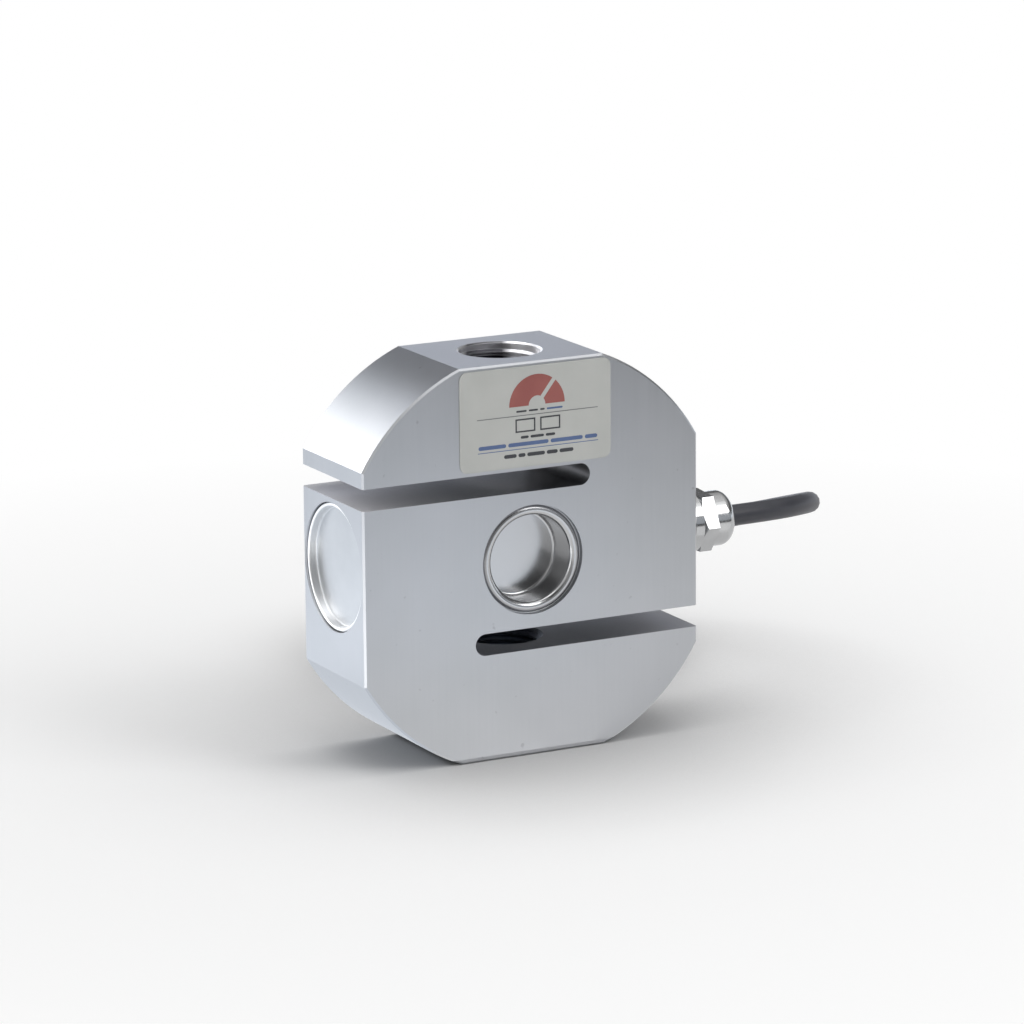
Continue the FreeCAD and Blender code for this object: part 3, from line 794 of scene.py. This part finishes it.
def make_thread(name, mount):
    """Helical ridge of a load hole, run out at both ends."""
    mouth = Vector(mount["pos_m"])
    inward = -Vector(mount["axis"])
    wall = mount["dims"]["r_mm"] * MM
    foot = wall + thread_foot_depth
    turns = (mount["dims"]["length_mm"] * MM - thread_base_width) / thread_pitch
    side = Vector((1, 0, 0))
    other = inward.cross(side)
    count = int(turns * thread_steps)
    vertices, faces = [], []
    for index in range(count + 1):
        turn = index / thread_steps
        height_share = max(thread_end_share, min(1.0, turn / thread_fade, (turns - turn) / thread_fade))
        crest = wall - (wall - thread_crest_radius) * height_share
        angle = 2 * math.pi * turn
        outward = side * math.cos(angle) + other * math.sin(angle)
        middle_depth = thread_base_width / 2 + turn * thread_pitch
        for radius, offset in ((foot, -thread_base_width / 2), (crest, -thread_crest_width / 2),
                               (crest, thread_crest_width / 2), (foot, thread_base_width / 2)):
            vertices.append(mouth + outward * radius + inward * (middle_depth + offset))
    for index in range(count):
        first, second = index * 4, index * 4 + 4
        for corner in range(4):
            after = (corner + 1) % 4
            faces.append((first + corner, second + corner, second + after, first + after))
    faces.append((0, 1, 2, 3))
    faces.append(tuple(count * 4 + corner for corner in (3, 2, 1, 0)))
    return mesh_object(name, vertices, faces, smooth=False)


for name in ("upper_thread", "lower_thread"):
    dress(make_thread(name + "_ridge", mounts[name]), "body_steel")

# ---------------------------------------------------------------- welds
cup_weld_depth = 1.55 * MM
cup_weld_radius = 16.2 * MM
cup_weld_thickness = 0.22 * MM
cap_weld_depth = 2.2 * MM
cap_weld_radius = 19.07 * MM
cap_weld_thickness = 0.16 * MM
weld_pitch = 0.7 * MM
weld_waist = 0.86               # thickness between two spots, as a share of that on a spot
weld_rings = 6                  # sections in each spot
weld_sides = 8


def make_weld(name, centre, axis, radius, thickness):
    """Overlapping weld spots in a ring about an axis."""
    axis = Vector(axis)
    side = axis.orthogonal().normalized()
    other = axis.cross(side)
    rings = int(2 * math.pi * radius / weld_pitch) * weld_rings
    vertices, faces = [], []
    for ring in range(rings):
        angle = 2 * math.pi * ring / rings
        outward = side * math.cos(angle) + other * math.sin(angle)
        swell = weld_waist + (1 - weld_waist) * abs(math.sin(math.pi * ring / weld_rings))
        vertices += ring_points(centre + outward * radius, outward, axis, thickness * swell, weld_sides)
        faces += ring_faces(ring * weld_sides, (ring + 1) % rings * weld_sides, weld_sides)
    return mesh_object(name, vertices, faces)


for name, y, axis in (("front_cup_weld", body_low.y + cup_weld_depth, (0, -1, 0)),
                      ("rear_cup_weld", body_high.y - cup_weld_depth, (0, 1, 0))):
    centre = Vector((0, y, axis_height))
    dress(make_weld(name, centre, axis, cup_weld_radius, cup_weld_thickness), "body_steel")
cap_weld_centre = Vector((body_low.x + cap_weld_depth, 0, axis_height))
dress(make_weld("side_cap_weld", cap_weld_centre, (-1, 0, 0), cap_weld_radius, cap_weld_thickness),
      "body_steel")

# ---------------------------------------------------------------- print on the rating label
label_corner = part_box("rating_label")[0]
ink_thickness = 0.03 * MM
# Layout in millimetres from the label's lower left corner: a plain half-round dial with a pale needle, and
# rows of blank print and fields under it.  Bars and fields give left, right, bottom and top.  A row gives
# its left end, the lengths of its bars, the gap between them, its bottom and its height.
dial_centre = (25.2, 18.1)
dial_radius = 9.1
caption_row = (18.4, (3.4, 3.0, 1.5), 0.7, 16.35, 0.55)
caption_end_row = (28.4, (5.2,), 0.7, 16.35, 0.55)
divider_bar = (5.6, 45.2, 15.25, 15.5)
left_field = (18.1, 24.6, 10.4, 14.4)
right_field = (26.2, 32.8, 10.4, 14.4)
field_line = 0.45
note_row = (19.8, (2.6, 4.4, 3.1), 0.6, 8.5, 0.8)
title_row = (6.0, (9.0, 13.2, 10.6, 4.1), 0.7, 6.35, 1.15)
title_bar = (5.8, 45.3, 5.4, 5.62)
foot_row = (14.3, (4.1, 2.3, 5.8, 3.6, 4.6), 0.6, 3.1, 1.1)


def printed(name, outlines, ink):
    """Raised ink on the label, in the outlines given."""
    vertices, faces = [], []
    for outline in outlines:
        base = len(vertices)
        count = len(outline)
        for depth in (0.0, ink_thickness):
            for x, z in outline:
                vertices.append(label_corner + Vector((x * MM, -depth, z * MM)))
        faces.append(tuple(range(base + count, base + 2 * count)))
        faces.append(tuple(reversed(range(base, base + count))))
        faces += ring_faces(base, base + count, count)
    return dress(mesh_object(name, vertices, faces, smooth=False), "label_plate", ink)


def bar(left, right, bottom, top):
    return [(left, bottom), (right, bottom), (right, top), (left, top)]


def pill(left, right, bottom, height):
    """Outline of a bar with round ends."""
    radius = height / 2
    return (arc((right - radius, bottom + radius), radius, -90, 90)
            + arc((left + radius, bottom + radius), radius, 90, 270))


def print_line(left, lengths, gap, bottom, height):
    """A row of round-ended bars that stands for a line of print."""
    row = []
    for length in lengths:
        row.append(pill(left, left + length, bottom, height))
        left += length + gap
    return row


def half_dial(centre, radius, needle_angle=52):
    """Half ring in two sectors, parted by a needle that points off an empty hub."""
    hub_radius = 0.3 * radius
    half_needle = 0.07 * radius
    sectors = []
    for first, last in ((0, needle_angle), (needle_angle, 180)):
        edges = []
        for reach in (radius, hub_radius):
            gap = math.degrees(half_needle / reach)
            start = first + gap if first == needle_angle else first
            end = last - gap if last == needle_angle else last
            edges.append(arc(centre, reach, start, end, steps=16))
        sectors.append(edges[0] + edges[1][::-1])
    return sectors


def blank_field(left, right, bottom, top, line):
    """Four thin bars round an empty field."""
    return [
        bar(left, right, bottom, bottom + line),
        bar(left, right, top - line, top),
        bar(left, left + line, bottom + line, top - line),
        bar(right - line, right, bottom + line, top - line),
    ]


printed("label_ink_red", half_dial(dial_centre, dial_radius), "ink_red")
printed("label_ink_grey", [bar(*divider_bar)], "ink_grey")
printed("label_ink_dark",
        print_line(*caption_row)
        + blank_field(*left_field, field_line)
        + blank_field(*right_field, field_line)
        + print_line(*note_row)
        + print_line(*foot_row), "ink_dark")
printed("label_ink_blue",
        print_line(*caption_end_row) + print_line(*title_row) + [bar(*title_bar)], "ink_blue")

# ---------------------------------------------------------------- studio
floor_size = 12.0
floor_shade_reach = 0.11        # metres from the object within which ambient occlusion paints a shadow into the floor's colour
floor_shade = (0.25, 0.25, 0.25)
floor_tone = (0.96, 0.96, 0.96)
floor_fade = (0.08, 0.4)        # metres from the load axis between which it turns into the background
world_strength = 0.45
dome_radius = 3.5
card_lift = 1.5 * MM
card_step = 6                   # degrees
white = (1, 1, 1, 1)
neutral = (1, 1, 1)
cool = (0.95, 1.0, 1.07)
cooler = (0.92, 0.98, 1.18)


def background_share(tree):
    """1 for rays that see the background: from the camera, and off or through glossy surfaces."""
    light_path = shader_node(tree, "ShaderNodeLightPath").outputs
    share = math_value(tree, "MAXIMUM", light_path["Is Camera Ray"], light_path["Is Glossy Ray"])
    return math_value(tree, "MAXIMUM", share, light_path["Is Transmission Ray"])


def make_floor():
    """Plain pale floor: it keeps the lamps' shadow, has a painted shadow from ambient occlusion near the
    body, and fades into the white background.
    """
    half = floor_size / 2
    corners = [(-half, -half, 0), (half, -half, 0), (half, half, 0), (-half, half, 0)]
    floor = mesh_object("floor", corners, [(0, 1, 2, 3)], smooth=False)
    made = bpy.data.materials.new("floor")
    tree = empty_tree(made)
    # Painted shadow: ambient occlusion darkens the floor's colour near the body
    near = shader_node(tree, "ShaderNodeAmbientOcclusion", {"Distance": floor_shade_reach})
    pale = blend_colour(tree, near.outputs["AO"], floor_shade, floor_tone)
    matte = shader_node(tree, "ShaderNodeBsdfDiffuse", {"Color": pale})
    blank = shader_node(tree, "ShaderNodeEmission", {"Color": white, "Strength": 1.0})
    fade = spread(tree, length_of(tree, object_place(tree)), 0, 1, *floor_fade)
    share = math_value(tree, "MULTIPLY", background_share(tree), fade)
    mix = shader_node(tree, "ShaderNodeMixShader", {0: share, 1: matte.outputs[0], 2: blank.outputs[0]})
    shader_node(tree, "ShaderNodeOutputMaterial", {"Surface": mix.outputs[0]})
    floor.data.materials.append(made)


def make_world():
    """White background, and an even light of its own."""
    world = bpy.data.worlds.new("studio")
    bpy.context.scene.world = world
    tree = empty_tree(world)
    light = shader_node(tree, "ShaderNodeBackground", {"Color": white, "Strength": world_strength})
    blank = shader_node(tree, "ShaderNodeBackground", {"Color": white, "Strength": 1.0})
    mix = shader_node(tree, "ShaderNodeMixShader",
                      {0: background_share(tree), 1: light.outputs[0], 2: blank.outputs[0]})
    shader_node(tree, "ShaderNodeOutputWorld", {"Surface": mix.outputs[0]})


def softbox(name, place, size, power):
    """Square lamp that faces the middle of the body."""
    data = bpy.data.lights.new(name, "AREA")
    data.shape = "SQUARE"
    data.size = size
    data.energy = power
    lamp = link(bpy.data.objects.new(name, data))
    place = Vector(place)
    away = place - Vector((0, 0, axis_height))
    lamp.matrix_world = Matrix.Translation(place) @ away.to_track_quat("Z", "Y").to_matrix().to_4x4()


def reflector(name, vertices, faces, strength, colour):
    """Card that only glossy surfaces see, as the surroundings of a studio show in polished metal."""
    card = mesh_object(name, vertices, faces, smooth=False)
    made = bpy.data.materials.new(name)
    tree = empty_tree(made)
    glow = shader_node(tree, "ShaderNodeEmission", {"Color": (*colour, 1), "Strength": strength})
    shader_node(tree, "ShaderNodeOutputMaterial", {"Surface": glow.outputs[0]})
    card.data.materials.append(made)
    for rays in ("camera", "diffuse", "transmission", "volume_scatter", "shadow"):
        setattr(card, "visible_" + rays, False)


def sector(name, bearings, near_far, to_point, strength, colour):
    """Reflector over a range of bearings; to_point gives the spot at a bearing and one of near and far."""
    first, last = (math.radians(value) for value in bearings)
    steps = max(1, round(math.degrees(last - first) / card_step))
    vertices, faces = [], []
    for index in range(steps + 1):
        bearing = first + (last - first) * index / steps
        toward = Vector((math.cos(bearing), math.sin(bearing), 0))
        vertices += [to_point(toward, value) for value in near_far]
        if index:
            faces.append((2 * index - 2, 2 * index - 1, 2 * index + 1, 2 * index))
    reflector(name, vertices, faces, strength, colour)


def wall_card(name, bearings, elevations, strength, colour=neutral):
    """Part of a dome round the body, between two bearings and two elevations in degrees."""
    def on_dome(toward, elevation):
        angle = math.radians(elevation)
        return (toward * math.cos(angle) + UP * math.sin(angle)) * dome_radius
    sector(name, bearings, elevations, on_dome, strength, colour)


def floor_card(name, bearings, distances, strength, colour=neutral):
    """Part of the floor, between two bearings in degrees and two distances in metres from the load axis."""
    def on_floor(toward, distance):
        return toward * distance + UP * card_lift
    sector(name, bearings, distances, on_floor, strength, colour)


make_floor()
make_world()
softbox("key_right", (0.62, -0.84, 0.86), 0.62, 4.4)
softbox("top", (-0.1, 0.2, 1.6), 1.5, 11)

# Bearing 0 is +X and 90 is +Y, so the camera stands near -117.  A dim room in front, a broad bright
# window on the left and behind, and light low round the rest.  A card of no strength hides the white
# background from glossy surfaces.
wall_card("room_front", (-150, -70), (0, 22), 0.3)
wall_card("room_front_right", (-70, -30), (0, 22), 0.5, cool)
wall_card("room_front_high", (-120, -60), (22, 70), 0.08)
wall_card("room_front_left_high", (-150, -120), (22, 70), 0.6)
wall_card("room_behind_key", (-60, -30), (22, 50), 0.03)
wall_card("right_low", (-30, 60), (0, 10), 1.1, cool)
wall_card("right_middle", (-30, 60), (10, 35), 0.15)
wall_card("right_upper", (-30, 66), (35, 50), 0.5)
wall_card("right_high_front", (-60, -15), (50, 70), 1.3)
wall_card("right_high", (-15, 66), (50, 70), 0.7)
wall_card("rear_low", (60, 120), (0, 10), 1.8, cool)
wall_card("rear_middle", (60, 93), (10, 22), 0.7, cooler)
wall_card("rear_shade", (60, 93), (22, 35), 0.0)
wall_card("rear_high", (66, 120), (35, 70), 0.0)
wall_card("window_rear", (93, 120), (10, 22), 4.0)
wall_card("window_rear_top", (93, 120), (22, 35), 1.05, cool)
wall_card("window_left", (120, 180), (0, 70), 1.6)
wall_card("window_left_edge", (180, 210), (0, 22), 1.6)
wall_card("left_high", (180, 210), (22, 70), 0.8)
wall_card("ceiling", (-180, 180), (70, 90), 0.7)
floor_card("floor_near_front_left", (-150, -80), (0.0, 0.12), 0.94)
floor_card("floor_near_front", (-80, -45), (0.0, 0.12), 0.87)
floor_card("floor_near_right", (-45, 60), (0.0, 0.12), 0.72)
floor_card("floor_near_rear", (60, 120), (0.0, 0.12), 0.6, cool)
floor_card("floor_near_left", (120, 210), (0.0, 0.12), 0.95, cool)
floor_card("floor_front_left", (-150, -90), (0.12, 0.9), 0.8)
floor_card("floor_front", (-90, -60), (0.12, 0.42), 1.13, cool)
floor_card("floor_front_right", (-60, -30), (0.12, 0.42), 0.92)
floor_card("floor_front_far", (-90, -60), (0.42, 0.9), 0.34)
floor_card("floor_front_right_far", (-60, -30), (0.42, 0.9), 0.04)
floor_card("floor_room", (-150, -30), (0.9, dome_radius), 0.05)
floor_card("floor_right", (-30, 60), (0.12, dome_radius), 0.8)
floor_card("floor_rear", (60, 120), (0.12, dome_radius), 0.65, cool)
floor_card("floor_left", (120, 195), (0.12, 0.3), 1.3, cool)
floor_card("floor_left_edge", (195, 210), (0.12, 0.3), 3.0)
floor_card("floor_left_far", (120, 210), (0.3, dome_radius), 1.06, cool)

bpy.context.scene.view_settings.view_transform = "Standard"
